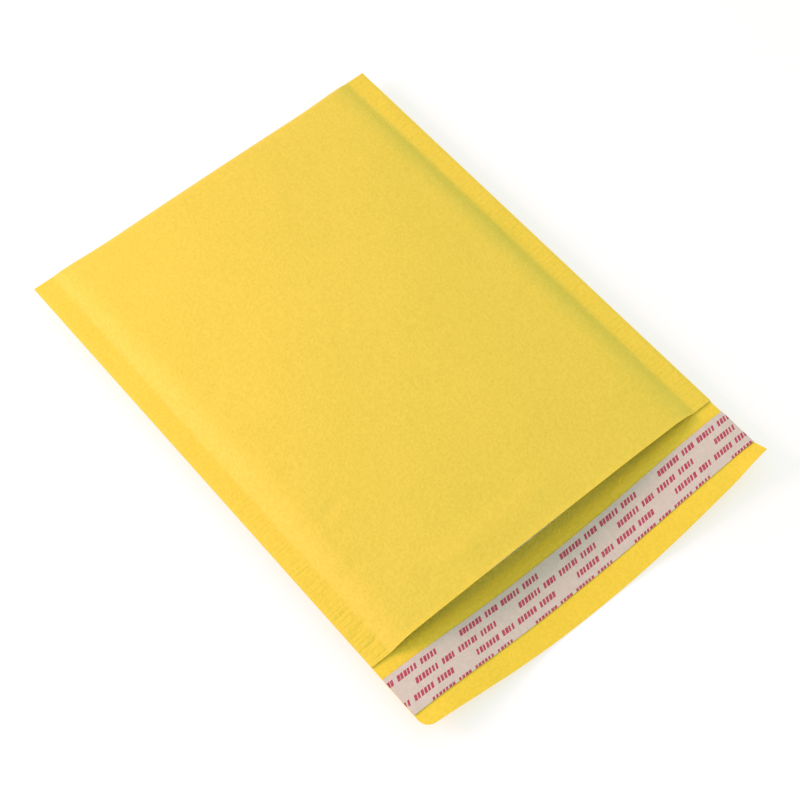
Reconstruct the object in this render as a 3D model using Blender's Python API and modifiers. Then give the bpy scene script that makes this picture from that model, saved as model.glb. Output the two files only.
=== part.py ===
"""Padded envelope: a kraft bubble mailer lying flat on its back panel, open, with its flap laid out.

Frame: metres, +Z up. Width along X, bottom fold at +Y, mouth and flap towards -Y, table at Z = 0.
Every sheet starts as a flat grid, and is then bent into place: the kraft sheet over one fold, the
bubble film round into a pocket, and the two strips over the flap.
"""

import bmesh
import bpy
import numpy as np

# Outline, measured flat
WIDTH = 0.180
BODY_LENGTH = 0.223  # bottom fold to the lip of the mouth
FLAP_LENGTH = 0.0355  # lip to the middle of the flap's cut edge
FLAP_BOW = 0.0040  # how far that middle stands out beyond the flap's corners
CORNER_RADIUS = 0.0045  # the flap's rounded corner, at -X
SEAM_WIDTH = 0.009

# Thicknesses
PAPER = 0.00025
GAP = 0.0003  # between layers
SEAM_FILM = 0.0004  # both walls of the lining, crushed in the seam
SEAM_FILM_WALL = 0.0001
BUBBLE_HEIGHT = 0.0026
LINING_INSET = 0.0003  # film edge back from the paper's side edge
LINING_SETBACK = 0.018  # film edge back from the lip, as a share of the run from lip to fold

# Heights of the filled body
BACK_DEPTH = 0.0083  # back panel below the seams
BACK_REACH = 0.035  # seam to the flat part of the back panel
FOLD_CROWN = 0.0035  # front panel above the seams, at the bottom fold
MOUTH_CROWN = 0.0042
MIDDLE_CROWN = 0.0030  # added half way between
CROWN_SHOULDER = 0.62  # share of the crown that is gained beside the seams
CROWN_REACH = 0.012
SHOULDER_POWER = 0.8
FOLD_ROUND = 0.8  # depth of the fold's bend over half its height

# The open flap sags between its side edges, a little to the left of the middle
SAG_CENTRE = -0.10  # as a share of half the width
SAG_LEFT = 0.90
SAG_RIGHT = 1.05
SAG_POWER = 1.2  # above 1, the lowest part is broader
SAG_START = 0.030  # before the lip, where the body's section begins to turn into the flap's
SAG_RUN = 0.036

# Strips on the flap, from the lip
LINER_START, LINER_END = 0.0064, 0.0248
LINER = 0.00012
ADHESIVE_MARGIN = 0.001
ADHESIVE = 0.00015

HALF_WIDTH = WIDTH / 2
FOLD_Y = (BODY_LENGTH + FLAP_LENGTH) / 2
MOUTH_Y = FOLD_Y - BODY_LENGTH
SEAM_HALF = (SEAM_FILM + PAPER) / 2 + GAP  # seam's middle to the middle of either paper
SEAM_Z = BACK_DEPTH + SEAM_HALF + PAPER / 2
LAYER_GAP = PAPER / 2 + GAP  # middle of the paper to the next layer's face

EDGE_STEPS = (0, 0.001, 0.0024, 0.0045, 0.009, 0.0115, 0.016, 0.025, 0.036, 0.048, 0.062, 0.076)
BODY_SHARES = (LINING_SETBACK, 0.045, 0.075, 0.11, 0.15, 0.30, 0.45, 0.60, 0.75, 0.89, 1)  # lip to fold
FOLD_ROWS = 8
FLAP_ROWS = 5


def ease(value):
    """0 to 1, with level ends."""
    value = np.clip(value, 0, 1)
    return value * value * (3 - 2 * value)


def columns():
    """X of each column of the sheets, closer together near the side edges."""
    left = np.array(EDGE_STEPS) - HALF_WIDTH
    return np.concatenate([left, [0], -left[::-1]])


def inside_seam(x):
    return HALF_WIDTH - SEAM_WIDTH - np.abs(x)


def shoulder(x, reach):
    """0 on the seam bands, then a quarter sine up to 1 over reach."""
    share = np.clip(inside_seam(x) / reach, 0, 1)
    return np.sin(np.pi / 2 * share) ** SHOULDER_POWER


def sag(x):
    """How far the flap sinks between its edges, 1 at the lowest: a squared cosine, wider to the right."""
    u = x / HALF_WIDTH - SAG_CENTRE
    share = np.clip(np.abs(u) / np.where(u < 0, SAG_LEFT, SAG_RIGHT), 0, 1)
    return np.cos(np.pi / 2 * share**SAG_POWER) ** 2


def back_z(x, y):
    """Middle of the paper of the back panel and the flap."""
    open_part = ease((MOUTH_Y + SAG_START - y) / SAG_RUN)
    depth = (1 - open_part) * shoulder(x, BACK_REACH) + open_part * sag(x)
    return SEAM_Z - SEAM_HALF - BACK_DEPTH * depth


def front_z(x, y):
    """Middle of the paper of the front panel: a quick rise beside the seams, then a low arch."""
    along = np.clip((FOLD_Y - y) / BODY_LENGTH, 0, 1)
    crown = FOLD_CROWN + (MOUTH_CROWN - FOLD_CROWN) * along + MIDDLE_CROWN * np.sin(np.pi * along)
    inner = HALF_WIDTH - SEAM_WIDTH
    arch = np.clip(1 - (x / inner) ** 2, 0, 1)
    across = CROWN_SHOULDER * shoulder(x, CROWN_REACH) + (1 - CROWN_SHOULDER) * arch
    return SEAM_Z + SEAM_HALF + crown * across


def fold_bend(x):
    """(centre y, centre z, half height) of the half ellipse that the paper makes round the fold."""
    y = FOLD_Y
    for _ in range(4):  # the half height depends a little on where the bend starts
        low, high = back_z(x, y), front_z(x, y)
        half = (high - low) / 2
        y = FOLD_Y - PAPER / 2 - FOLD_ROUND * half
    return y, (low + high) / 2, half


def cut_edge_y(x):
    """The flap's cut edge: bowed, with a quarter circle at its left corner."""
    u = x / HALF_WIDTH
    run = np.clip(CORNER_RADIUS - HALF_WIDTH - x, 0, CORNER_RADIUS)
    corner = CORNER_RADIUS - np.sqrt(CORNER_RADIUS**2 - run**2)
    return MOUTH_Y - FLAP_LENGTH + FLAP_BOW * u**2 + corner


def kraft_point(x, row):
    """Where a column's point of the blank goes: row 0 to 1 flap, to 2 back, to 3 fold, to 4 front."""
    bend_y, bend_z, half = fold_bend(x)
    if row <= 1:
        y = cut_edge_y(x) * (1 - row) + MOUTH_Y * row
        return y, back_z(x, y)
    if row <= 2:
        y = MOUTH_Y * (2 - row) + bend_y * (row - 1)
        return y, back_z(x, y)
    if row <= 3:
        angle = np.pi * (row - 2.5)
        return bend_y + FOLD_ROUND * half * np.cos(angle), bend_z + half * np.sin(angle)
    y = bend_y * (4 - row) + MOUTH_Y * (row - 3)
    return y, front_z(x, y)


def kraft_rows():
    shares = np.array(BODY_SHARES)
    flap = np.arange(FLAP_ROWS + 1) / FLAP_ROWS
    bend = 2 + np.arange(1, FOLD_ROWS) / FOLD_ROWS
    return np.concatenate([flap, 1 + shares, bend, 4 - shares[::-1], [4]])


def film_wall(x):
    """Thickness of one wall of the lining: bubbles in the middle, crushed flat at the seam."""
    return SEAM_FILM_WALL + (BUBBLE_HEIGHT - SEAM_FILM_WALL) * ease(inside_seam(x) / 0.015)


def pocket_point(x, side, row):
    """A point of the lining, on its lower (-1) or upper (1) half.

    Rows run from the closed end outside (0) round its bend (1) and along to the rim (2), then from
    the rim inside (3) along to the bend (4) and round it to the closed end (5).
    """
    inner = row > 2.5
    if inner:
        x = x * (HALF_WIDTH - SEAM_WIDTH - 0.0005) / HALF_WIDTH
        row = 5 - row
    inset = LAYER_GAP + (film_wall(x) if inner else 0)
    bend_y, bend_z, half = fold_bend(x)
    if row < 1:
        angle = np.pi / 2 * row
        height = np.maximum(half - inset, SEAM_FILM_WALL)
        depth = np.maximum(FOLD_ROUND * half - inset, SEAM_FILM_WALL)
        return x, bend_y + depth * np.cos(angle), bend_z + side * height * np.sin(angle)
    y = bend_y * (2 - row) + MOUTH_Y * (row - 1)
    low, high = back_z(x, y), front_z(x, y)
    height = np.maximum((high - low) / 2 - inset, SEAM_FILM_WALL)
    return x, y, (low + high) / 2 + side * height


def pocket_rows():
    half_bend = np.arange(FOLD_ROWS // 2 + 1) / (FOLD_ROWS / 2)
    outside = np.concatenate([half_bend[:-1], 2 - np.array(BODY_SHARES)[::-1]])
    return np.concatenate([outside, 5 - outside[::-1]])


def place_grid(bm, points):
    """A flat grid whose vertices are moved to points[row, column]."""
    rows, count = points.shape[:2]
    grid = bmesh.ops.create_grid(bm, x_segments=count - 1, y_segments=rows - 1, size=1)
    grid["verts"].sort(key=lambda v: (round(v.co.y, 6), round(v.co.x, 6)))
    for vertex, point in zip(grid["verts"], points.reshape(-1, 3)):
        vertex.co = point


def add_object(name, bm, colour, roughness, collection):
    mesh = bpy.data.meshes.new(name)
    bm.to_mesh(mesh)
    bm.free()
    mesh.shade_smooth()
    mesh.set_sharp_from_angle(angle=np.radians(40))
    material = bpy.data.materials.new(name)
    material.use_nodes = True
    shader = material.node_tree.nodes["Principled BSDF"]
    shader.inputs["Base Color"].default_value = (*colour, 1)
    shader.inputs["Roughness"].default_value = roughness
    shader.inputs["Metallic"].default_value = 0
    material.diffuse_color = (*colour, 1)
    mesh.materials.append(material)
    obj = bpy.data.objects.new(name, mesh)
    collection.objects.link(obj)
    return obj


def thicken(obj, thickness):
    solidify = obj.modifiers.new("thickness", "SOLIDIFY")
    solidify.thickness = thickness
    solidify.offset = 0
    solidify.use_even_offset = True


def make_kraft_sheet(collection):
    """One sheet of paper, folded once: flap, back panel, bottom fold, front panel."""
    x = columns()
    points = np.array([np.stack([x, *kraft_point(x, row)], axis=1) for row in kraft_rows()])
    bm = bmesh.new()
    place_grid(bm, points)
    bmesh.ops.recalc_face_normals(bm, faces=bm.faces)
    sheet = add_object("outer_sheet", bm, (0.87, 0.56, 0.06), 0.75, collection)
    thicken(sheet, PAPER)
    return sheet


def make_bubble_lining(collection):
    """A pocket of bubble film, closed at the fold, thin in the seams and open at the mouth."""
    edge = HALF_WIDTH - LINING_INSET
    x = np.clip(columns(), -edge, edge)
    rings = []
    for row in pocket_rows():
        lower = np.stack(pocket_point(x, -1, row), axis=1)
        upper = np.stack(pocket_point(x, 1, row), axis=1)[::-1]
        rings.append(np.concatenate([lower, upper, lower[:1]]))
    bm = bmesh.new()
    place_grid(bm, np.array(rings))
    bmesh.ops.remove_doubles(bm, verts=bm.verts, dist=1e-6)
    bmesh.ops.recalc_face_normals(bm, faces=bm.faces)
    return add_object("bubble_lining", bm, (0.82, 0.84, 0.86), 0.2, collection)


def make_strip(name, start, end, margin, below, thickness, colour, roughness, collection):
    """A strip across the flap, its underside a stated height over the middle of the paper."""
    x = np.unique(np.clip(columns(), margin - HALF_WIDTH, HALF_WIDTH - margin))
    rows = []
    for distance in np.linspace(start, end, 3):
        y = np.full_like(x, MOUTH_Y - distance)
        rows.append(np.stack([x, y, back_z(x, y) + below + thickness / 2], axis=1))
    bm = bmesh.new()
    place_grid(bm, np.array(rows))
    strip = add_object(name, bm, colour, roughness, collection)
    thicken(strip, thickness)
    return strip


def main():
    for obj in list(bpy.data.objects):
        bpy.data.objects.remove(obj)
    collection = bpy.data.collections.new("padded_envelope")
    bpy.context.scene.collection.children.link(collection)
    root = bpy.data.objects.new("padded_envelope_root", None)
    collection.objects.link(root)

    adhesive = make_strip(
        "adhesive_strip", LINER_START + ADHESIVE_MARGIN, LINER_END - ADHESIVE_MARGIN,
        ADHESIVE_MARGIN, LAYER_GAP, ADHESIVE, (0.80, 0.78, 0.70), 0.3, collection,
    )
    liner = make_strip(
        "release_liner", LINER_START, LINER_END, 0,
        LAYER_GAP + ADHESIVE + GAP, LINER, (0.66, 0.58, 0.53), 0.4, collection,
    )
    for piece in (make_kraft_sheet(collection), make_bubble_lining(collection), adhesive, liner):
        piece.parent = root


main()
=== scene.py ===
"""Padded envelope: the finish of a kraft bubble mailer, lying open on a pale table.

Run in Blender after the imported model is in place. Each operator makes one group of pieces, in the
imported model's own frame: metres, +Z up, width along X, bottom fold at +Y, mouth and flap towards -Y.
"""

import math

import bmesh
import bpy
import numpy as np
from bpy.props import FloatProperty, FloatVectorProperty, IntProperty, PointerProperty
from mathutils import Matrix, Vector


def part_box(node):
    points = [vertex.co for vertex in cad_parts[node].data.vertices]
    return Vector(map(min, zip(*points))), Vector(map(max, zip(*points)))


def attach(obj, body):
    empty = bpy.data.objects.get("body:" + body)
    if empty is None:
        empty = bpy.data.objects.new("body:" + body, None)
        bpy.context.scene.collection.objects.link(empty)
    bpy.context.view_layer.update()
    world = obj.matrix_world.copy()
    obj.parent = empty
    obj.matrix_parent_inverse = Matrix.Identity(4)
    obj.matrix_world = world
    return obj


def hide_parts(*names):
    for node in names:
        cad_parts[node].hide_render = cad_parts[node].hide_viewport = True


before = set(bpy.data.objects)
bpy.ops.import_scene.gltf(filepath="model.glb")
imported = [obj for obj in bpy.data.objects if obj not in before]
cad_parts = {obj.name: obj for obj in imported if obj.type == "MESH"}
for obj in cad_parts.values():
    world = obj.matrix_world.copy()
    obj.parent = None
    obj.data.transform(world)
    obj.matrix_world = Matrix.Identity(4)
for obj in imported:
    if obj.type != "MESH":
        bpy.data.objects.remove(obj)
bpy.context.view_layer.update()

bl_info = {
    "name": "Padded Envelope",
    "version": (1, 0, 0),
    "blender": (4, 5, 0),
    "location": "3D View > Sidebar > Mailer",
    "description": "Makes a kraft bubble mailer with its lining, release liner and flap",
    "category": "Add Mesh",
}

SHEET_LOW, SHEET_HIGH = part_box("outer_sheet")
LINER_LOW, LINER_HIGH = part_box("release_liner")
ADHESIVE_LOW, ADHESIVE_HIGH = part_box("adhesive_strip")

MM = 0.001

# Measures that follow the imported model's own construction
PAPER = 0.25 * MM
LAYER_GAP = PAPER / 2 + 0.12 * MM  # middle of the paper to the face of the next layer
SEAM_HEIGHT = 9.05 * MM  # middle of the seams above the table
SEAM_HALF = 0.42 * MM  # middle of the seam to the middle of either paper
SEAM_PINCH = 0.2 * MM  # how much nearer each paper comes at the cut edge
FILM_EDGE = 0.1 * MM  # half the thickness of the film in the seams
BACK_REACH = 35 * MM  # seam to the flat part of the back panel
CROWN_REACH = 12 * MM  # seam to the end of the front panel's quick rise
CROWN_SHOULDER = 0.62  # share of the front panel's rise that is gained beside the seams
SHOULDER_POWER = 0.8  # below 1, the rise starts more steeply
FOLD_ROUND = 0.8  # depth of the fold's bend over half its height
SAG_CENTRE = -0.10  # the open flap's trough, as a share of half the width
SAG_LEFT, SAG_RIGHT = 0.90, 1.05  # its reach to either side, likewise
SAG_POWER = 1.2  # above 1, its lowest part is broader
SAG_START, SAG_RUN = 30 * MM, 36 * MM  # before the lip, and how far the change of section takes
CROWN_LEAD, LEAD_RUN = 2.2 * MM, 6.6 * MM  # the rise gathers over this run, begun before the seam
RIM_SHARE = 0.018  # lining's rim back from the lip, as a share of the run from lip to fold
FILM_BODY = 0.18 * MM  # flat film between bubbles, beyond FILM_EDGE
CRUSH_REACH = 14 * MM  # bubbles are crushed this near to the seams
BOND_REACH = 2 * MM  # the two films part over this much beside the seams
BUBBLE_SHIFT = 3 * MM  # the bubbles of the two halves are out of step by twice this
SEAM_STEP = 0.8 * MM  # from the seam's inner line to the first column of the middle

# Relief of the front panel, coarse to fine: height in millimetres, pitch, number of waves
PANEL_RELIEF = ((0.22, 55 * MM, 12), (0.050, 19 * MM, 20), (0.014, 7.5 * MM, 24))
PUCKER_LEFT, PUCKER_RIGHT = 0.30, 0.20  # short waves beside the seams, in millimetres
PUCKER_PITCH, PUCKER_FADE = 8.5 * MM, 7 * MM
LIP_FLICK, LIP_RUN = 0.28, 2.4 * MM  # the lip turns up by this many millimetres over this run
FLAP_RIPPLE, RIPPLE_PITCH = 0.16, 22 * MM  # in millimetres
CURL_HEIGHT = 4.2 * MM  # the flap's right corner stands up
CURL_FROM, CURL_ACROSS, CURL_ALONG = 68 * MM, 22 * MM, 11 * MM  # x where it starts, and its two runs
CREASE_GAIN = 1.5  # strengthens the heights in CREASES

# Crimped seams, in millimetres but for the pitches
RIB_SHARPNESS = 3.2  # the larger, the narrower the valleys
RIB_DEPTH, RIB_VARIATION, RIB_LEAST = 0.13, 0.09, 0.02
SEAM_WAVE, SEAM_WAVE_PITCH = 0.10, 29 * MM
LOWER_FROM, LOWER_RUN = 60 * MM, 130 * MM  # the left seam's ribs deepen from this y towards the mouth

TABLE_SIDE, TABLE_DROP = 6.0, 0.05 * MM  # the table lies just under the mailer
TABLE_GLOW = 0.5  # light that the table top gives off itself


# ---------------------------------------------------------------- settings


class MailerSizes(bpy.types.PropertyGroup):
    """Sizes of the mailer"""

    width: FloatProperty(
        name="Width", description="Across the seams", unit="LENGTH", default=SHEET_HIGH.x - SHEET_LOW.x
    )
    body_length: FloatProperty(
        name="Body length", description="Bottom fold to the lip of the mouth", unit="LENGTH", default=0.223
    )
    seam_width: FloatProperty(
        name="Seam width", description="Width of the crimped side seams", unit="LENGTH", default=0.009
    )
    flap_bow: FloatProperty(
        name="Flap bow", description="Middle of the cut edge beyond its corners",
        unit="LENGTH", default=0.004,
    )
    corner_radius: FloatProperty(
        name="Corner radius", description="Round of the flap's left corner", unit="LENGTH", default=0.0045
    )
    fold_crown: FloatProperty(
        name="Fold crown", description="Front panel above the seams at the fold",
        unit="LENGTH", default=0.0037,
    )
    mouth_crown: FloatProperty(
        name="Mouth crown", description="Front panel above the seams at the lip",
        unit="LENGTH", default=0.0044,
    )
    middle_crown: FloatProperty(
        name="Middle crown", description="Crown added half way between", unit="LENGTH", default=0.003
    )
    crimp_pitch: FloatProperty(
        name="Crimp pitch", description="Spacing of the ribs in the seams", unit="LENGTH", default=0.0024
    )
    bubble_pitch: FloatProperty(
        name="Bubble pitch", description="Spacing of the bubbles", unit="LENGTH", default=0.0102
    )
    bubble_height: FloatProperty(
        name="Bubble height", description="Height of a bubble over its film", unit="LENGTH", default=0.0023
    )


class MailerColours(bpy.types.PropertyGroup):
    """Colours of the mailer, linear"""

    kraft: FloatVectorProperty(
        name="Kraft", description="Outside of the paper", subtype="COLOR", default=(0.735, 0.61, 0.063)
    )
    kraft_flap: FloatVectorProperty(
        name="Flap", description="Inside of the paper, on the flap",
        subtype="COLOR", default=(0.835, 0.645, 0.043),
    )
    liner: FloatVectorProperty(
        name="Liner", description="Release paper", subtype="COLOR", default=(0.59, 0.55, 0.475)
    )
    ink: FloatVectorProperty(
        name="Ink", description="Marks on the release paper", subtype="COLOR", default=(0.40, 0.02, 0.075)
    )
    film: FloatVectorProperty(
        name="Film", description="Bubble film", subtype="COLOR", default=(0.86, 0.87, 0.84)
    )
    floor: FloatVectorProperty(
        name="Floor", description="Top of the light table", subtype="COLOR", default=(0.5, 0.5, 0.5)
    )


class MailerStage(bpy.types.PropertyGroup):
    """Camera and light"""

    azimuth: FloatProperty(
        name="Azimuth", description="Camera round the mailer", subtype="ANGLE", default=math.radians(-40.2)
    )
    elevation: FloatProperty(
        name="Elevation", description="Camera above the table", subtype="ANGLE", default=math.radians(60.5)
    )
    distance: FloatProperty(
        name="Distance", description="Camera to its aim", unit="LENGTH", default=0.787
    )
    lens: FloatProperty(name="Lens", description="Focal length", unit="CAMERA", default=85.5)
    key_azimuth: FloatProperty(
        name="Key azimuth", description="Key light round the mailer",
        subtype="ANGLE", default=math.radians(234),
    )
    key_elevation: FloatProperty(
        name="Key elevation", description="Key light above the table",
        subtype="ANGLE", default=math.radians(32),
    )
    key_distance: FloatProperty(
        name="Key distance", description="Key light to the mailer", unit="LENGTH", default=0.72
    )
    key_size: FloatProperty(
        name="Key size", description="Width of the soft key light", unit="LENGTH", default=0.32
    )
    key_power: FloatProperty(
        name="Key", description="Warm light from the left, towards the fold", unit="POWER", default=3.95
    )
    key_colour: FloatVectorProperty(
        name="Key colour", description="Tint of the key", subtype="COLOR", default=(1.0, 0.42, 0.56)
    )
    sky: FloatProperty(name="Sky", description="Strength of the surroundings", default=0.92)
    sky_colour: FloatVectorProperty(
        name="Sky colour", description="Tint of the surroundings",
        subtype="COLOR", default=(0.97, 1.0, 0.95),
    )
    aim: FloatVectorProperty(
        name="Aim", description="Point in the middle of the view",
        subtype="TRANSLATION", default=(-0.0033, -0.0077, 0),
    )
    seed: IntProperty(name="Seed", description="Seed of the paper's relief", default=7)


# ---------------------------------------------------------------- form


def ease(value):
    """A smooth step: three times the square less twice the cube, level at 0 and 1."""
    value = np.clip(value, 0, 1)
    return value * value * (3 - 2 * value)


def waves(x, y, pitch, seed, count=12):
    """Sum of cosine waves of nearly one pitch, each in its own direction, scaled to about -1 to 1."""
    rng = np.random.default_rng(seed)
    angle = rng.uniform(0, np.pi, count)
    number = 2 * np.pi / (pitch * rng.uniform(0.7, 1.4, count))
    phase = rng.uniform(0, 2 * np.pi, count)
    total = 0
    for a, k, p in zip(angle, number, phase):
        total = total + np.cos(k * (np.cos(a) * x + np.sin(a) * y) + p)
    return total / math.sqrt(2 * count)


class Form:
    """The bent shape of the mailer: heights of its panels as functions of x and y."""

    def __init__(self, sizes, seed):
        self.s = sizes
        self.seed = seed
        self.half = sizes.width / 2
        self.inner = self.half - sizes.seam_width
        self.fold_y = SHEET_HIGH.y
        self.mouth_y = SHEET_HIGH.y - sizes.body_length
        self.seam_z = SEAM_HEIGHT
        self.back_depth = SEAM_HEIGHT - SEAM_HALF - PAPER / 2

    def inside(self, x):
        return self.inner - np.abs(x)

    def shoulder(self, x, reach):
        """0 on the seams, then a quarter sine up to 1 over reach."""
        share = np.clip(self.inside(x) / reach, 0, 1)
        return np.sin(np.pi / 2 * share) ** SHOULDER_POWER

    def sag(self, x):
        """The open flap's trough, 1 at its lowest: a squared cosine, wider on the right."""
        u = x / self.half - SAG_CENTRE
        share = np.clip(np.abs(u) / np.where(u < 0, SAG_LEFT, SAG_RIGHT), 0, 1)
        return np.cos(np.pi / 2 * share**SAG_POWER) ** 2

    def open_part(self, y):
        """0 in the body, 1 on the flap."""
        return ease((self.mouth_y + SAG_START - y) / SAG_RUN)

    def body_part(self, y):
        """1 in the body, falling to 0 over the last 1.5 mm before the lip."""
        return ease((y - self.mouth_y) / (1.5 * MM))

    def across_seam(self, x):
        """Place across a seam band: 0 at its inner line, 1 at the cut edge."""
        return (np.abs(x) - self.inner) / self.s.seam_width

    def seam_relief(self, x, y, ribs):
        """Crimped seams, both papers alike: narrow valleys across the band, spaced along y.

        A valley's section is exp(k (cos phase - 1)). Its phase wanders a little along y, its ends lie
        anywhere in the band, and its depth varies from one to the next, deepest at the left near the mouth.
        ribs is 1 on the papers and 0 on the film between them, which bridges the valleys.
        """
        out = self.across_seam(x)
        left = x < 0
        lower = ease((LOWER_FROM - y) / LOWER_RUN)  # 0 towards the fold, 1 at the mouth
        phase = 2 * np.pi * y / self.s.crimp_pitch + 1.3 * waves(y, 0 * y, 11 * MM, self.seed + 3)
        phase = phase + np.where(left, 1.3, -0.7) * out  # the ribs lean a little
        valley = np.exp(RIB_SHARPNESS * (np.cos(phase) - 1))
        middle = 0.46 + 0.20 * waves(y, 0 * y, 5.2 * MM, self.seed + 8)
        reach = 0.34 + np.where(left, 0.16 * lower, 0.04)
        window = ease((reach - np.abs(out - middle)) / 0.16)
        depth = RIB_DEPTH + RIB_VARIATION * waves(y, 0 * y, 4.7 * MM, self.seed + 4)
        depth = ribs * np.clip(depth, RIB_LEAST, 1) * np.where(left, 0.70 + 0.75 * lower, 1.25)
        band = ease((out + 0.3) / 0.4) * ease((1 - out) / 0.3)
        slow = SEAM_WAVE * waves(y, 0 * y, SEAM_WAVE_PITCH, self.seed + 5)
        tucks = ease((out + 0.2) / 0.2) * troughs(x, y, SEAM_TUCKS)
        return MM * self.body_part(y) * (band * slow - depth * window * valley + tucks)

    def seam_half(self, x, y):
        """Middle of the seam to the middle of either paper: less at the cut edge, where they meet."""
        return SEAM_HALF - SEAM_PINCH * ease((self.across_seam(x) - 0.88) / 0.1) * self.body_part(y)

    def back_z(self, x, y, ribs=1):
        """Middle of the paper of the back panel and the flap, whose right corner curls up."""
        open_part = self.open_part(y)
        depth = (1 - open_part) * self.shoulder(x, BACK_REACH) + open_part * self.sag(x)
        z = self.seam_z - self.seam_half(x, y) - self.back_depth * depth
        curl = ease((x - CURL_FROM) / CURL_ACROSS) * ease((LINER_LOW.y + 2 * MM - y) / CURL_ALONG)
        lifted = ease(z / (2 * MM) - 0.2)
        ripple = open_part * lifted * FLAP_RIPPLE * MM * waves(x, y * 0.3, RIPPLE_PITCH, self.seed + 6)
        return z + CURL_HEIGHT * curl + ripple + self.seam_relief(x, y, ribs)

    def front_z(self, x, y, ribs=1):
        """Middle of the paper of the front panel: a quick rise beside the seams, a low arch, and relief.

        The rise starts gently, since the paper leaves the seam along a small hollow.
        """
        s = self.s
        along = np.clip((self.fold_y - y) / s.body_length, 0, 1)
        crown = s.fold_crown + (s.mouth_crown - s.fold_crown) * along
        crown = crown + s.middle_crown * np.sin(np.pi * along)
        arch = np.clip(1 - (x / self.inner) ** 2, 0, 1)
        inside = self.inside(x)
        lead = ease((inside + CROWN_LEAD) / LEAD_RUN)
        across = CROWN_SHOULDER * lead * self.shoulder(x, CROWN_REACH) + (1 - CROWN_SHOULDER) * arch
        free = ease(inside / 0.02) * ease((self.fold_y - y) / 0.03)  # 0 where the paper is held
        relief = 0
        for step, (height, pitch, count) in enumerate(PANEL_RELIEF):
            relief = relief + height * waves(x, y, pitch, self.seed + step, count)
        near = ease(inside / 0.004) * np.exp(-inside / PUCKER_FADE)
        pucker = np.where(x < 0, PUCKER_LEFT, PUCKER_RIGHT) * near
        pucker = pucker * waves(y, 0.25 * x, PUCKER_PITCH, self.seed + 9)
        flick = LIP_FLICK * ease((self.mouth_y + LIP_RUN - y) / LIP_RUN) * ease(inside / 0.012)
        inner_tucks = ease(inside / (0.2 * s.seam_width)) * troughs(x, y, SEAM_TUCKS)
        dents = CREASE_GAIN * ease(inside / 0.006) * troughs(x, y, CREASES) + inner_tucks
        z = self.seam_z + self.seam_half(x, y) + crown * across
        return z + MM * (free * relief + pucker + flick + dents) + self.seam_relief(x, y, ribs)

    def bend(self, x):
        """(centre y, centre z, half height) of the half ellipse that the paper makes round the fold."""
        y = self.fold_y + 0 * x
        for _ in range(4):
            low, high = self.back_z(x, y), self.front_z(x, y)
            half = (high - low) / 2
            y = self.fold_y - PAPER / 2 - FOLD_ROUND * half
        return y, (low + high) / 2, half

    def cut_edge_y(self, x):
        """The flap's cut edge: a shallow parabola, with a quarter circle at its left corner."""
        s = self.s
        run = np.clip(s.corner_radius - self.half - x, 0, s.corner_radius)
        corner = s.corner_radius - np.sqrt(s.corner_radius**2 - run**2)
        return SHEET_LOW.y + s.flap_bow * (x / self.half) ** 2 + corner

    def sheet(self, x, t):
        """Points [row, column] of the kraft sheet. t runs 0 to 1 flap, to 2 back, to 3 fold, to 4 front."""
        x, t = np.broadcast_arrays(x[None, :], t[:, None])
        bend_y, bend_z, half = self.bend(x)
        flap_y = self.cut_edge_y(x) * (1 - t) + self.mouth_y * t
        back_y = self.mouth_y * (2 - t) + bend_y * (t - 1)
        low_y = np.where(t < 1, flap_y, back_y)
        angle = np.pi * (np.clip(t, 2, 3) - 2.5)
        top_y = bend_y * (4 - t) + self.mouth_y * (t - 3)
        y = np.select([t < 2, t < 3], [low_y, bend_y + FOLD_ROUND * half * np.cos(angle)], top_y)
        low_z, top_z = self.back_z(x, low_y), self.front_z(x, np.minimum(top_y, bend_y))
        z = np.select([t < 2, t < 3], [low_z, bend_z + half * np.sin(angle)], top_z)
        return np.stack([x, y, z], axis=-1)

    def bubbles(self, x, y):
        """Domes in a hexagonal pattern: 1 on a bubble's top, falling to 0 at its rim.

        A dome's section is a fourth-power oval.
        """
        pitch = self.s.bubble_pitch
        rise = pitch * math.sqrt(3)
        nearest = np.inf
        for shift in (0, 0.5):
            dx = (x / pitch + shift + 0.5) % 1 - 0.5
            dy = (y / rise + shift + 0.5) % 1 - 0.5
            nearest = np.minimum(nearest, np.hypot(dx * pitch, dy * rise))
        return np.sqrt(np.clip(1 - (nearest / (0.46 * pitch)) ** 4, 0, 1))

    def lining(self, x, rows, side, inner):
        """Points [row, column] of one half of the lining's outer or inner skin, side -1 below, 1 above.

        Rows run 0 to 1 round the closed end and 1 to 2 along to the rim. The inner skin stands off
        the outer one by the film's thickness and the height of its bubbles.
        """
        x, rows = np.broadcast_arrays(x[None, :], rows[:, None])
        bend_y, bend_z, half = self.bend(x)
        angle = np.pi / 2 * np.clip(rows, 0, 1)
        y = bend_y * (2 - rows) + self.mouth_y * (rows - 1)
        low, high = self.back_z(x, y, 0), self.front_z(x, np.minimum(y, bend_y), 0)
        inset = LAYER_GAP + 0 * x
        if inner:
            crushed = ease(self.inside(x) / CRUSH_REACH)
            along = np.where(rows < 1, bend_y + half * np.cos(angle), y)
            domes = self.bubbles(x, along + side * BUBBLE_SHIFT)
            inset = inset + FILM_EDGE + crushed * (FILM_BODY + self.s.bubble_height * domes)
        end_height = np.maximum(half - inset, FILM_EDGE)
        end_depth = np.maximum(FOLD_ROUND * half - inset, FILM_EDGE)
        bonded = ease(self.inside(x) / BOND_REACH)
        height = np.maximum(((high - low) / 2 - inset) * bonded, FILM_EDGE)
        closed = rows < 1
        out_y = np.where(closed, bend_y + end_depth * np.cos(angle), y)
        middle = np.where(closed, bend_z, (low + high) / 2)
        return np.stack(
            [x, out_y, middle + side * np.where(closed, end_height * np.sin(angle), height)], axis=-1
        )


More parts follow.
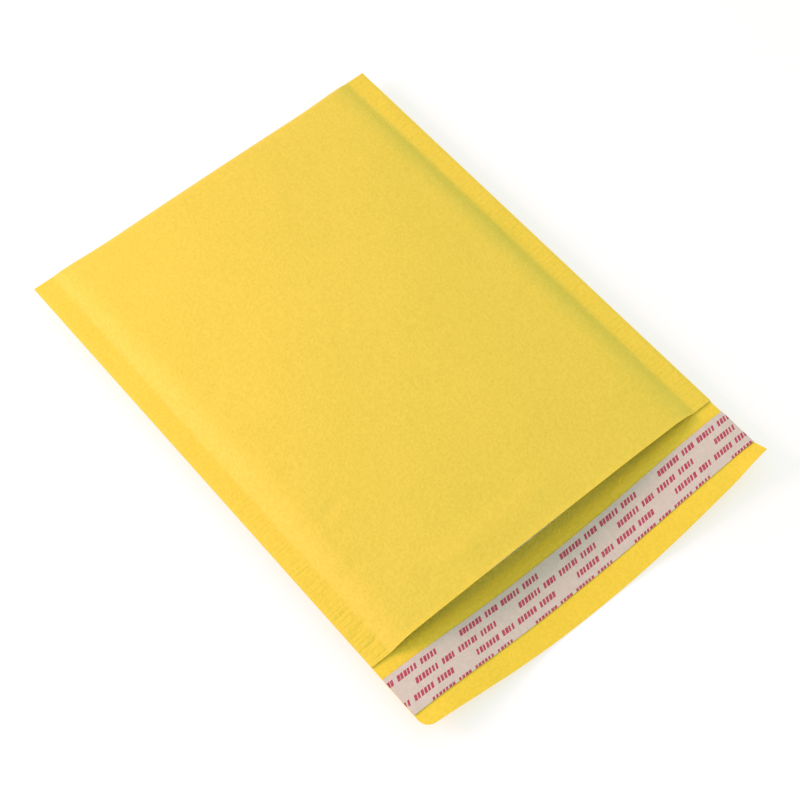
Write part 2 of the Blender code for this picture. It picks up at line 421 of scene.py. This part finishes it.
def trough(x, y, x0, y0, x1, y1, width):
    """1 along the line from (x0, y0) to (x1, y1), which are in millimetres; x and y are in metres.

    Across the line it falls off as a bell of the given width, and it tapers at both ends.
    """
    run = math.hypot(x1 - x0, y1 - y0)
    ux, uy = (x1 - x0) / run, (y1 - y0) / run
    dx, dy = x / MM - x0, y / MM - y0
    along = (dx * ux + dy * uy) / run
    aside = dx * uy - dy * ux
    return ease(along / 0.3) * ease((1 - along) / 0.3) * np.exp(-((aside / width) ** 2))


def troughs(x, y, table):
    """Sum of a table's dents and rises, in millimetres."""
    total = 0 * x
    for x0, y0, x1, y1, height, width in table:
        total = total + trough(x, y, x0, y0, x1, y1, width) * height
    return total


# Soft dents and rises in the front panel, then wrinkles that cross the seams. Each row: the ends
# x0, y0 and x1, y1, the height (down if negative) and the width, all in millimetres.
CREASES = (
    (-75, -31, -62, -36, -0.26, 1.8),
    (-69, -37, -53, -31, -0.32, 1.8),
    (-52, -80, 24, -82, 0.60, 6.5),
    (-56, -76, -36, -90, -0.30, 4.0),
    (-80, -11, -66, -19, -0.16, 1.8),
    (-76, 30, -54, 43, -0.16, 2.6),
    (-79, -62, -64, -57, -0.20, 2.0),
    (-60, 6, -38, -6, -0.14, 3.0),
    (58, -12, 77, -4, -0.14, 2.2),
    (62, 66, 78, 76, -0.14, 2.4),
    (6, 72, 42, 50, -0.14, 4.5),
)
SEAM_TUCKS = (
    (-91, -80, -78, -77.5, -0.30, 1.2),
    (-88, -87, -77, -84.5, -0.32, 1.2),
    (-90, -70.5, -80, -69, -0.20, 1.0),
    (-88, -60, -81, -58.5, -0.16, 0.8),
    (82, -74, 89, -76, -0.14, 0.9),
    (81, -52, 88, -53.5, -0.12, 0.9),
)


# ---------------------------------------------------------------- meshes


def grid_faces(rows, columns, start=0):
    """Quads of a rows by columns grid whose vertices are numbered row by row from start."""
    index = start + np.arange(rows * columns).reshape(rows, columns)
    corners = [index[:-1, :-1], index[:-1, 1:], index[1:, 1:], index[1:, :-1]]
    return np.stack(corners, axis=-1).reshape(-1, 4)


def add_piece(name, points, faces, uv):
    """A mesh object from arrays; faces is a list of arrays, each of faces with one number of corners."""
    mesh = bpy.data.meshes.new(name)
    corners = np.concatenate([part.reshape(-1) for part in faces])
    sizes = np.concatenate([np.full(len(part), part.shape[1]) for part in faces])
    mesh.vertices.add(len(points))
    mesh.vertices.foreach_set("co", points.astype(np.float32).reshape(-1))
    mesh.loops.add(len(corners))
    mesh.loops.foreach_set("vertex_index", corners.astype(np.int32))
    mesh.polygons.add(len(sizes))
    mesh.polygons.foreach_set("loop_start", (np.cumsum(sizes) - sizes).astype(np.int32))
    layer = mesh.uv_layers.new(name="sheet")
    layer.uv.foreach_set("vector", uv[corners].astype(np.float32).reshape(-1))
    mesh.update(calc_edges=True)
    mesh.validate()
    obj = bpy.data.objects.new(name, mesh)
    bpy.context.scene.collection.objects.link(obj)
    return obj


def thicken(obj, thickness):
    """Gives an open sheet its thickness, half to each side, and makes its edges crisp."""
    solidify = obj.modifiers.new("thickness", "SOLIDIFY")
    solidify.thickness = thickness
    solidify.offset = 0
    solidify.use_even_offset = True
    bpy.context.view_layer.update()
    graph = bpy.context.evaluated_depsgraph_get()
    solid = bpy.data.meshes.new_from_object(obj.evaluated_get(graph))
    obj.modifiers.clear()
    obj.data = solid
    finish_shading(obj, 50)


def finish_shading(obj, degrees):
    obj.data.shade_smooth()
    obj.data.set_sharp_from_angle(angle=math.radians(degrees))


def seam_columns(form):
    """x offsets from the cut edge to the seam's inner line, closest at the edge."""
    return form.s.seam_width * np.array([0, 0.04, 0.12, 0.24, 0.38, 0.54, 0.72, 0.88, 1.0])


def middle_columns(form, count):
    """x from seam to seam, closer together at the shoulders."""
    u = np.linspace(-1, 1, count)
    return (form.inner - SEAM_STEP) * (0.72 * u + 0.28 * np.sin(np.pi / 2 * u))


def stretch_rows(stops, counts):
    """Values from the first stop to the last, with counts[i] even steps from stop i to stop i + 1."""
    runs = [np.linspace(low, high, n, endpoint=False) for low, high, n in zip(stops, stops[1:], counts)]
    return np.append(np.concatenate(runs), stops[-1])


FINE = 6  # rows of the seams to one row of the panels
KRAFT_COLUMNS, LINING_COLUMNS = 80, 132  # between the seams

# Stops of the rows, as in Form.sheet and Form.lining, and the steps from each stop to the next
KRAFT_ROWS = (0, 1, 2, 3, 3.86, 3.97, 4), (22, 62, 12, 104, 28, 8)
OUTER_ROWS = (0, 1, 1.86, 2 - RIM_SHARE), (6, 96, 30)
INNER_ROWS = (0, 1, 2 - RIM_SHARE), (6, 186)

STRIP_COLUMNS, STRIP_ROWS = 181, 24
STRIP_FREE = 6 * MM  # the ends of the strips stand off over this much


def kraft_mesh(form):
    """(points, faces, uv): two finely divided seam bands and a coarser middle.

    Fans of triangles stitch the bands to the middle.
    """
    coarse = stretch_rows(*KRAFT_ROWS)
    fine = np.interp(np.arange(FINE * (len(coarse) - 1) + 1) / FINE, np.arange(len(coarse)), coarse)
    edge = seam_columns(form)
    middle_x = middle_columns(form, KRAFT_COLUMNS)
    bands = ((edge - form.half, fine), (middle_x, coarse), (form.half - edge[::-1], fine))
    length = np.cumsum([0, form.mouth_y - SHEET_LOW.y, form.s.body_length, 0.012, form.s.body_length])
    points, faces, uv, starts = [], [], [], []
    start = 0
    for x, t in bands:
        points.append(form.sheet(x, t).reshape(-1, 3))
        u, v = np.meshgrid(x, np.interp(t, np.arange(5), length))
        uv.append(np.stack([u, v], axis=-1).reshape(-1, 2))
        faces.append(grid_faces(len(t), len(x), start))
        starts.append((start, len(x)))
        start += len(t) * len(x)
    (left, wide), (middle, count), (right, _) = starts
    steps = np.arange(len(coarse) - 1)
    for fine_0, stride, coarse_0, turn in (
        (left + wide - 1, wide, middle, False),
        (right, wide, middle + count - 1, True),
    ):
        f = [fine_0 + stride * (FINE * steps + k) for k in range(FINE + 1)]
        c0, c1 = coarse_0 + count * steps, coarse_0 + count * (steps + 1)
        fans = [(f[k], c0 if k < FINE / 2 else c1, f[k + 1]) for k in range(FINE)]
        for fan in [*fans, (f[FINE // 2], c0, c1)]:
            triangle = np.stack(fan, axis=-1)
            faces.append(triangle[:, ::-1] if turn else triangle)
    return np.concatenate(points), faces, np.concatenate(uv)


def lining_mesh(form):
    """(points, faces, uv) of the pocket: rings of points from the closed end out, over the rim and back in.

    Both skins have the same number of columns. The inner skin's outermost ones are packed beside the seam.
    """
    edge = seam_columns(form)[2:]
    middle_x = middle_columns(form, LINING_COLUMNS)
    outer_x = np.concatenate([edge - form.half, middle_x, form.half - edge[::-1]])
    tight = form.inner - SEAM_STEP + 0.5 * MM * (1.1 - edge / form.s.seam_width)
    inner_x = np.concatenate([-tight, middle_x, tight[::-1]])
    outer_rows = stretch_rows(*OUTER_ROWS)
    inner_rows = stretch_rows(*INNER_ROWS)
    rings = []
    for x, rows, inner in ((outer_x, outer_rows, False), (inner_x, inner_rows, True)):
        lower = form.lining(x, rows, -1, inner)
        upper = form.lining(x, rows, 1, inner)[:, ::-1]
        ring = np.concatenate([lower, upper, lower[:, :1]], axis=1)
        rings.append(ring[::-1] if inner else ring)
    points = np.concatenate(rings)
    faces = grid_faces(*points.shape[:2])
    points = points.reshape(-1, 3)
    return points, [faces], points[:, :2]


def strip_mesh(form, low, high, margin, below, thickness, lift):
    """(points, faces, uv) of a strip across the flap: the flap's own surface raised along Z.

    At either end it stands off by up to lift, unevenly along Y.
    """
    x = np.linspace(-1, 1, STRIP_COLUMNS) * (form.half - margin)
    x, y = np.meshgrid(x, np.linspace(low, high, STRIP_ROWS))
    z = form.back_z(x, y) + below + thickness / 2
    edge = ease((np.abs(x) - form.half + STRIP_FREE) / STRIP_FREE)
    z = z + lift * edge * (0.6 + 0.4 * np.cos(2 * np.pi * y / 0.013))
    points = np.stack([x, y, z], axis=-1).reshape(-1, 3)
    return points, [grid_faces(*x.shape)], np.stack([x - x.min(), high - y], axis=-1).reshape(-1, 2)


def close_mesh(obj):
    """Merges the doubled points where a wrapped grid meets itself, and points its faces outwards."""
    bm = bmesh.new()
    bm.from_mesh(obj.data)
    bmesh.ops.remove_doubles(bm, verts=bm.verts, dist=1e-6)
    bmesh.ops.recalc_face_normals(bm, faces=bm.faces)
    bm.to_mesh(obj.data)
    bm.free()


# ---------------------------------------------------------------- materials


class Tree:
    """Short forms for adding nodes to one node tree."""

    def __init__(self, tree):
        self.tree = tree

    def add(self, kind, **values):
        node = self.tree.nodes.new("ShaderNode" + kind)
        for name, value in values.items():
            setattr(node, name, value)
        return node

    def put(self, socket, value):
        """Links a socket, or sets its default from a number, colour or vector."""
        if isinstance(value, bpy.types.NodeSocket):
            self.tree.links.new(value, socket)
        else:
            socket.default_value = value

    def math(self, operation, *values):
        node = self.add("Math", operation=operation)
        for socket, value in zip(node.inputs, values):
            self.put(socket, value)
        return node.outputs[0]

    def noise(self, vector, scale, detail=2.0, roughness=0.5):
        node = self.add("TexNoise")
        self.put(node.inputs["Vector"], vector)
        self.put(node.inputs["Scale"], scale)
        node.inputs["Detail"].default_value = detail
        node.inputs["Roughness"].default_value = roughness
        return node.outputs["Fac"]

    def span(self, value, low, high, to_low=0.0, to_high=1.0):
        """Map Range, smooth, from low..high to to_low..to_high."""
        node = self.add("MapRange", interpolation_type="SMOOTHSTEP")
        for socket, number in zip(node.inputs, (value, low, high, to_low, to_high)):
            self.put(socket, number)
        return node.outputs[0]

    def mix(self, factor, a, b, blend_type="MIX"):
        node = self.add("Mix", data_type="RGBA", blend_type=blend_type)
        self.put(node.inputs["Factor"], factor)
        self.put(node.inputs[6], a)
        self.put(node.inputs[7], b)
        return node.outputs[2]

    def scaled(self, vector, scale):
        node = self.add("Mapping")
        self.put(node.inputs["Vector"], vector)
        node.inputs["Scale"].default_value = scale
        return node.outputs[0]

    def group(self, group, **values):
        node = self.add("Group", node_tree=group)
        for name, value in values.items():
            self.put(node.inputs[name], value)
        return node

    def bump(self, height, distance):
        node = self.add("Bump")
        node.inputs["Distance"].default_value = distance
        self.put(node.inputs["Height"], height)
        return node.outputs[0]


def new_group(name, inputs, outputs):
    """(group, its Tree, input node, output node); inputs are (label, kind, default)."""
    group = bpy.data.node_groups.new(name, "ShaderNodeTree")
    for label, kind, default in inputs:
        socket = group.interface.new_socket(label, in_out="INPUT", socket_type="NodeSocket" + kind)
        if default is not None:
            socket.default_value = default
    for label in outputs:
        group.interface.new_socket(label, in_out="OUTPUT", socket_type="NodeSocketFloat")
    return group, Tree(group), group.nodes.new("NodeGroupInput"), group.nodes.new("NodeGroupOutput")


def paper_grain_group():
    """Fibre grain of paper: a fine felted noise, a slower mottle, and faint streaks along its run."""
    group, t, given, out = new_group(
        "paper_grain",
        (("Vector", "Vector", None), ("Grain", "Float", 760.0), ("Mottle", "Float", 380.0)),
        ("Tint", "Height"),
    )
    vector = given.outputs["Vector"]
    fine = t.noise(vector, given.outputs["Grain"], 3.0, 0.6)
    mottle = t.noise(vector, given.outputs["Mottle"], 4.0, 0.62)
    streak = t.noise(t.scaled(vector, (900, 60, 60)), 1.0, 2.0)
    tint = t.math("ADD", t.math("MULTIPLY", fine, 0.60), t.math("MULTIPLY", mottle, 0.25))
    t.put(out.inputs["Tint"], t.math("ADD", tint, t.math("MULTIPLY", streak, 0.15)))
    height = t.math("ADD", t.math("MULTIPLY", fine, 0.60), t.math("MULTIPLY", mottle, 0.40))
    t.put(out.inputs["Height"], height)
    return group


def marks_group():
    """Rows of short leaning bars of uneven width in groups, staggered from row to row.

    Input is the place on the strip in metres: X along it and Y down from its upper edge.
    Output is 1 on ink and 0 off it.
    """
    pitch, row_pitch, first, tall = 1.65 * MM, 5.05 * MM, 3.3 * MM, 1.15 * MM
    repeat = 32 * pitch
    group, t, given, out = new_group("marks", (("Place", "Vector", None),), ("Ink",))
    split = t.add("SeparateXYZ")
    t.put(split.inputs[0], given.outputs["Place"])
    along, down = split.outputs[0], split.outputs[1]
    row = t.math("FLOOR", t.math("DIVIDE", t.math("SUBTRACT", down, first - row_pitch / 2), row_pitch))
    centre = t.math("ADD", t.math("MULTIPLY", row, row_pitch), first)
    aside = t.math("ABSOLUTE", t.math("SUBTRACT", down, centre))
    stagger = t.math("MULTIPLY", t.math("MODULO", row, 2.0), repeat / 2)
    lean = t.math("MULTIPLY", t.math("SUBTRACT", down, centre), 0.42)
    shifted = t.math("ADD", t.math("ADD", along, lean), t.math("ADD", stagger, 10.3 * pitch))
    place = t.math("DIVIDE", t.math("MODULO", shifted, repeat), pitch)
    cell = t.math("FLOOR", place)
    dice = t.add("TexWhiteNoise", noise_dimensions="2D")
    pair = t.add("CombineXYZ")
    t.put(pair.inputs[0], cell)
    t.put(pair.inputs[1], t.math("MULTIPLY", row, 0.37))
    t.put(dice.inputs["Vector"], pair.outputs[0])
    wide = t.math("ADD", t.math("MULTIPLY", dice.outputs["Value"], 0.30), 0.56)
    shown = t.math("LESS_THAN", cell, 24.5)
    for gap in (7, 12, 19):
        shown = t.math("MULTIPLY", shown, t.math("SUBTRACT", 1.0, t.math("COMPARE", cell, float(gap), 0.5)))
    bar = t.math("LESS_THAN", t.math("FRACT", place), wide)
    ink = t.math("MULTIPLY", t.math("MULTIPLY", shown, bar), t.math("LESS_THAN", aside, tall))
    t.put(out.inputs["Ink"], ink)
    return group


def new_material(name, roughness, specular=0.35):
    """(material, its Tree, its Principled shader)"""
    material = bpy.data.materials.new(name)
    material.use_nodes = True
    shader = material.node_tree.nodes["Principled BSDF"]
    shader.inputs["Roughness"].default_value = roughness
    shader.inputs["Specular IOR Level"].default_value = specular
    return material, Tree(material.node_tree), shader


def rgba(colour, gain=1.0):
    return (*(min(1.0, value * gain) for value in colour), 1.0)


def shared_group(name, make):
    return bpy.data.node_groups.get(name) or make()


def kraft_material(colours, form):
    """Yellow kraft: fibre mottle in colour and bump, a deeper tone in the seams and on the flap."""
    material, t, shader = new_material("yellow_kraft", 0.58, 0.4)
    where = t.add("TexCoord").outputs["Object"]
    grain = t.group(shared_group("paper_grain", paper_grain_group), Vector=where)
    split = t.add("SeparateXYZ")
    t.put(split.inputs[0], where)
    seam = t.span(t.math("ABSOLUTE", split.outputs[0]), form.inner - 0.001, form.inner + 0.002)
    flap = t.span(split.outputs[1], form.mouth_y + 0.001, form.mouth_y - 0.001)
    deeper = t.math("MAXIMUM", t.math("MULTIPLY", seam, 0.45), flap)
    body = t.mix(deeper, rgba(colours.kraft), rgba(colours.kraft_flap))
    tint = t.span(grain.outputs["Tint"], 0.34, 0.66)
    dark = t.mix(1.0, body, (0.92, 0.925, 0.84, 1), "MULTIPLY")
    colour = t.mix(tint, dark, body)
    broad = t.span(t.noise(where, 26.0, 2.0), 0.3, 0.7)
    colour = t.mix(broad, t.mix(1.0, colour, (0.975, 0.985, 0.95, 1), "MULTIPLY"), colour)
    t.put(shader.inputs["Base Color"], colour)
    t.put(shader.inputs["Roughness"], t.span(grain.outputs["Tint"], 0.3, 0.7, 0.68, 0.56))
    t.put(shader.inputs["Normal"], t.bump(grain.outputs["Height"], 0.00036))
    return material


def liner_material(colours):
    """Silicone-coated release paper: pale, faintly mottled, smoother than the kraft, with inked marks."""
    material, t, shader = new_material("release_paper", 0.5, 0.3)
    where = t.add("TexCoord")
    grain = t.group(
        shared_group("paper_grain", paper_grain_group),
        Vector=where.outputs["Object"], Grain=2200.0, Mottle=420.0,
    )
    marks = t.group(shared_group("marks", marks_group), Place=where.outputs["UV"])
    tint = t.span(grain.outputs["Tint"], 0.36, 0.64)
    paper = t.mix(tint, rgba(colours.liner, 0.90), rgba(colours.liner, 1.06))
    worn = t.span(t.noise(where.outputs["Object"], 2600.0, 1.0), 0.30, 0.52)
    ink = t.math("MULTIPLY", marks.outputs["Ink"], t.math("ADD", t.math("MULTIPLY", worn, 0.25), 0.72))
    t.put(shader.inputs["Base Color"], t.mix(ink, paper, rgba(colours.ink)))
    t.put(shader.inputs["Roughness"], t.span(grain.outputs["Tint"], 0.3, 0.7, 0.56, 0.46))
    t.put(shader.inputs["Normal"], t.bump(grain.outputs["Height"], 0.00005))
    return material


def film_material(colours):
    """Clear bubble film: glossy, half see-through, milky where it is creased."""
    material, t, shader = new_material("bubble_film", 0.16, 0.6)
    where = t.add("TexCoord").outputs["Object"]
    haze = t.span(t.noise(where, 160.0, 4.0, 0.6), 0.35, 0.7)
    t.put(shader.inputs["Base Color"], t.mix(haze, rgba(colours.film, 0.94), rgba(colours.film, 1.06)))
    t.put(shader.inputs["Alpha"], t.math("ADD", t.math("MULTIPLY", haze, 0.16), 0.40))
    t.put(shader.inputs["Roughness"], t.math("ADD", t.math("MULTIPLY", haze, 0.12), 0.10))
    t.put(shader.inputs["Normal"], t.bump(t.noise(where, 900.0, 2.0), 0.00006))
    shader.inputs["Coat Weight"].default_value = 0.4
    shader.inputs["Coat Roughness"].default_value = 0.08
    return material


def adhesive_material():
    """Hot melt: pale, tacky and glossy, with a faint combed texture along the strip."""
    material, t, shader = new_material("hot_melt", 0.18, 0.6)
    where = t.add("TexCoord").outputs["Object"]
    comb = t.noise(t.scaled(where, (40, 1400, 1)), 1.0, 2.0)
    shade = t.span(comb, 0.35, 0.65)
    t.put(shader.inputs["Base Color"], t.mix(shade, (0.72, 0.66, 0.48, 1), (0.82, 0.78, 0.64, 1)))
    t.put(shader.inputs["Normal"], t.bump(comb, 0.00008))
    return material


def floor_material(colours):
    """A light table: its smooth pale top glows evenly and so softens shadows."""
    material, t, shader = new_material("table_top", 0.55, 0.2)
    where = t.add("TexCoord").outputs["Object"]
    tooth = t.span(t.noise(where, 30.0, 3.0), 0.3, 0.7)
    t.put(shader.inputs["Base Color"], t.mix(tooth, rgba(colours.floor, 0.99), rgba(colours.floor)))
    shader.inputs["Emission Color"].default_value = (1.0, 1.0, 1.0, 1.0)
    shader.inputs["Emission Strength"].default_value = TABLE_GLOW
    return material


# ---------------------------------------------------------------- operators


def settings(context):
    return context.scene.mailer_sizes, context.scene.mailer_colours, context.scene.mailer_stage


def dress(obj, material, node):
    """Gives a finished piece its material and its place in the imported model."""
    obj.data.materials.clear()
    obj.data.materials.append(material)
    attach(obj, "root")
    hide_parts(node)


class MAILER_OT_fold_kraft(bpy.types.Operator):
    """Fold one kraft sheet into flap, back panel, bottom fold and front panel"""

    bl_idname = "mailer.fold_kraft"
    bl_label = "Fold Kraft Sheet"

    def execute(self, context):
        sizes, colours, stage = settings(context)
        form = Form(sizes, stage.seed)
        sheet = add_piece("kraft_sheet", *kraft_mesh(form))
        thicken(sheet, PAPER)
        dress(sheet, kraft_material(colours, form), "outer_sheet")
        return {"FINISHED"}


class MAILER_OT_weld_lining(bpy.types.Operator):
    """Weld the pocket of bubble film that lines the body"""

    bl_idname = "mailer.weld_lining"
    bl_label = "Weld Bubble Lining"

    def execute(self, context):
        sizes, colours, stage = settings(context)
        lining = add_piece("bubble_film_pocket", *lining_mesh(Form(sizes, stage.seed)))
        close_mesh(lining)
        finish_shading(lining, 70)
        dress(lining, film_material(colours), "bubble_lining")
        return {"FINISHED"}


class MAILER_OT_lay_strips(bpy.types.Operator):
    """Lay the hot-melt strip and its printed release liner on the flap"""

    bl_idname = "mailer.lay_strips"
    bl_label = "Lay Flap Strips"

    def execute(self, context):
        sizes, colours, stage = settings(context)
        form = Form(sizes, stage.seed)
        glue, gap, paper, lift = 0.12 * MM, 0.08 * MM, 0.1 * MM, 0.2 * MM
        strip = strip_mesh(form, ADHESIVE_LOW.y, ADHESIVE_HIGH.y, 1 * MM, PAPER / 2 + gap, glue, 0)
        adhesive = add_piece("hot_melt_strip", *strip)
        thicken(adhesive, glue)
        dress(adhesive, adhesive_material(), "adhesive_strip")
        below = PAPER / 2 + gap + glue + gap
        strip = strip_mesh(form, LINER_LOW.y, LINER_HIGH.y, 0, below, paper, lift)
        liner = add_piece("release_liner_strip", *strip)
        thicken(liner, paper)
        dress(liner, liner_material(colours), "release_liner")
        return {"FINISHED"}


def direction(azimuth, elevation):
    """Unit vector from the mailer towards azimuth (0 at the flap's end, -Y) and elevation."""
    level = math.cos(elevation)
    return Vector((math.sin(azimuth) * level, -math.cos(azimuth) * level, math.sin(elevation)))


def place(name, data, aim, back, distance):
    """An object that stands off from aim along back and looks at it."""
    obj = bpy.data.objects.new(name, data)
    obj.location = Vector(aim) + back * distance
    obj.rotation_euler = (-back).to_track_quat("-Z", "Y").to_euler()
    bpy.context.scene.collection.objects.link(obj)
    return obj


class MAILER_OT_set_stage(bpy.types.Operator):
    """Set the pale table, the lights and the camera"""

    bl_idname = "mailer.set_stage"
    bl_label = "Set Stage"

    def execute(self, context):
        _, colours, stage = settings(context)
        scene = context.scene
        floor = add_piece("table", *flat_floor(TABLE_SIDE))
        floor.data.materials.append(floor_material(colours))
        key = bpy.data.lights.new("key", "AREA")
        key.shape = "DISK"
        key.size = stage.key_size
        key.energy = stage.key_power
        key.color = stage.key_colour
        towards = direction(stage.key_azimuth, stage.key_elevation)
        place("key", key, (0, 0, 0), towards, stage.key_distance)
        world = bpy.data.worlds.new("studio")
        world.use_nodes = True
        world.node_tree.nodes["Background"].inputs["Color"].default_value = (*stage.sky_colour, 1)
        world.node_tree.nodes["Background"].inputs["Strength"].default_value = stage.sky
        scene.world = world
        data = bpy.data.cameras.new("camera")
        data.lens = stage.lens
        data.sensor_width = 36
        back = direction(stage.azimuth, stage.elevation)
        camera = place("camera", data, stage.aim, back, stage.distance)
        scene.camera = camera
        scene.view_settings.view_transform = "Standard"
        scene.view_settings.look = "None"
        return {"FINISHED"}


def flat_floor(side):
    """(points, faces, uv) of a square table top just under the mailer."""
    ends = np.array([-side / 2, side / 2])
    x, y = np.meshgrid(ends, ends)
    points = np.stack([x, y, 0 * x - TABLE_DROP], axis=-1).reshape(-1, 3)
    return points, [grid_faces(2, 2)], points[:, :2]


class MAILER_PT_panel(bpy.types.Panel):
    """Sizes, colours and steps of the mailer"""

    bl_idname = "MAILER_PT_panel"
    bl_label = "Padded Envelope"
    bl_space_type = "VIEW_3D"
    bl_region_type = "UI"
    bl_category = "Mailer"

    def draw(self, context):
        for group in settings(context):
            box = self.layout.box()
            for name in group.__annotations__:
                box.prop(group, name)
        for operator in OPERATORS:
            self.layout.operator(operator.bl_idname)


OPERATORS = (MAILER_OT_fold_kraft, MAILER_OT_weld_lining, MAILER_OT_lay_strips, MAILER_OT_set_stage)
CLASSES = (MailerSizes, MailerColours, MailerStage, *OPERATORS, MAILER_PT_panel)


def register():
    for cls in CLASSES:
        bpy.utils.register_class(cls)
    bpy.types.Scene.mailer_sizes = PointerProperty(type=MailerSizes)
    bpy.types.Scene.mailer_colours = PointerProperty(type=MailerColours)
    bpy.types.Scene.mailer_stage = PointerProperty(type=MailerStage)


def unregister():
    del bpy.types.Scene.mailer_sizes
    del bpy.types.Scene.mailer_colours
    del bpy.types.Scene.mailer_stage
    for cls in reversed(CLASSES):
        bpy.utils.unregister_class(cls)


def main():
    register()
    bpy.ops.mailer.fold_kraft()
    bpy.ops.mailer.weld_lining()
    bpy.ops.mailer.lay_strips()
    bpy.ops.mailer.set_stage()


if __name__ == "__main__":
    main()
